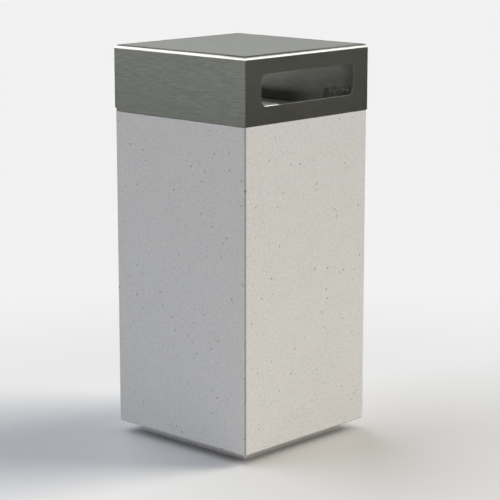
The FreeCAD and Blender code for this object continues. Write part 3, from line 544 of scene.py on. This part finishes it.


# ---- Floor and light -----------------------------------------------------------------------------------
# A plain pale floor without an edge, painted darker round the bin as shade, a broad warm light from the
# right, a broad cool one from the left, and a studio room that the polished steel mirrors.

bpy.ops.mesh.primitive_plane_add(size=400.0)
floor = bpy.context.object
floor.name = "floor"
floor_finish = Finish("pale floor")
floor_x, floor_y, _ = floor_finish.axes(floor_finish.place())
from_bin = floor_finish.add("ShaderNodeMath", {"operation": "SQRT"}, floor_x * floor_x + floor_y * floor_y)
# painted shade: the floor is darker near the bin and paler further off
floor_shade_near_bin = floor_finish.blend(from_bin.rise(0.25, 1.7), (0.600, 0.600, 0.600), (0.705, 0.706, 0.709))
# a darker ring stands in for the deep contact shadow around the foot
contact = 1.0 - floor_x.size().larger(floor_y.size()).rise(0.160, 0.210)
floor_finish.surface(Base_Color=floor_finish.blend(0.50 * contact, floor_shade_near_bin, (0.10, 0.10, 0.10)), Roughness=1.0)
floor_finish.shader.inputs["Specular IOR Level"].default_value = 0.0
floor.data.materials.append(floor_finish.material)
floor.visible_glossy = False

RIGHT_LIGHT = (4.41, 4.22, 3.83)
LEFT_LIGHT = (3.46, 3.64, 4.02)
ROOM_ALL_ROUND = (0.01, 0.01, 0.01)
ROOM_FRONT = (0.01, 0.01, 0.01)
ROOM_SIDE = (0.24, 0.212, 0.18)


def soft_light(name, across, height, colour, spread):
    """A broad far light. across is its compass direction, from +X towards +Y, in degrees."""
    angle, rise = math.radians(across), math.radians(height)
    away = Vector((math.cos(angle) * math.cos(rise), math.sin(angle) * math.cos(rise), math.sin(rise)))
    bpy.ops.object.light_add(type="SUN", location=away * 5.0)
    light = bpy.context.object
    light.name = name
    light.rotation_euler = away.to_track_quat("Z", "Y").to_euler()
    light.data.energy = max(colour)
    light.data.color = [part / max(colour) for part in colour]
    light.data.angle = math.radians(spread)
    light.visible_glossy = False


soft_light("right light", -35.0, 28.0, RIGHT_LIGHT, 40.0)
soft_light("left light", 105.0, 28.0, LEFT_LIGHT, 100.0)

# stands for the daylight that a pale room sends in through the slot
slot_light_place = (-0.065, HOOD_LOW.y + 0.008, (SLOT_LOW.z + SLOT_HIGH.z) / 2)
bpy.ops.object.light_add(type="AREA", location=slot_light_place, rotation=(math.pi / 2, 0.0, 0.0))
slot_light = bpy.context.object
slot_light.name = "slot light"
slot_light.data.shape = "RECTANGLE"
slot_light.data.size, slot_light.data.size_y = 0.15, 0.060
slot_light.data.energy = 0.19
slot_light.data.color = (0.97, 1.0, 0.98)
slot_light.visible_camera = False

# the camera sees an even pale backdrop, polished surfaces mirror a room with bright panels at its sides,
# and matt ones get only a little fill from it; up is the sine of a direction's height above the horizon,
# and sideways and beside tell how far it lies to the side of the view
world = bpy.data.worlds.new("studio room")
bpy.context.scene.world = world
world.use_nodes = True
room = Finish("room", world.node_tree)
direction = room.add("ShaderNodeTexCoord", {}, output="Generated")
east, north, up = room.axes(direction)
sideways = 0.683 * east - 0.730 * north
beside = sideways.size()
floor_tone = room.blend(sideways.rise(-0.2, 0.75), (0.27, 0.285, 0.265), (0.092, 0.090, 0.078))
low_room = room.blend(up.rise(0.25, 0.34), (0.64, 0.65, 0.635), (0.06, 0.06, 0.06))
high_room = room.blend(up.rise(0.72, 0.85), low_room, (0.60, 0.60, 0.60))
panels = room.blend(beside.rise(0.57, 0.65), high_room, (1.9, 1.88, 1.82))
mirrored = room.blend(up.rise(0.08, 0.16), floor_tone, panels)
rays = room.tree.nodes.new("ShaderNodeLightPath")
seen = Field(room, rays.outputs["Is Camera Ray"])
glossy = Field(room, rays.outputs["Is Glossy Ray"])
front = (0.30 * east - 0.95 * north + 0.05 * up).larger(0.0)
side = (-0.95 * east + 0.30 * north + 0.05 * up).larger(0.0)
ambient = room.blend(1.0, (0.0, 0.0, 0.0), ROOM_ALL_ROUND)
for mask, colour in ((front * front, ROOM_FRONT), (side * side, ROOM_SIDE)):
    ambient = room.add("ShaderNodeVectorMath", {"operation": "ADD"}, ambient, room.tone(colour, mask))
light_colour = room.blend(glossy, ambient, mirrored)
room_colour = room.blend(seen, light_colour, (0.871, 0.871, 0.871))
background = room.tree.nodes["Background"]
room.tree.links.new(room_colour.socket, background.inputs["Color"])
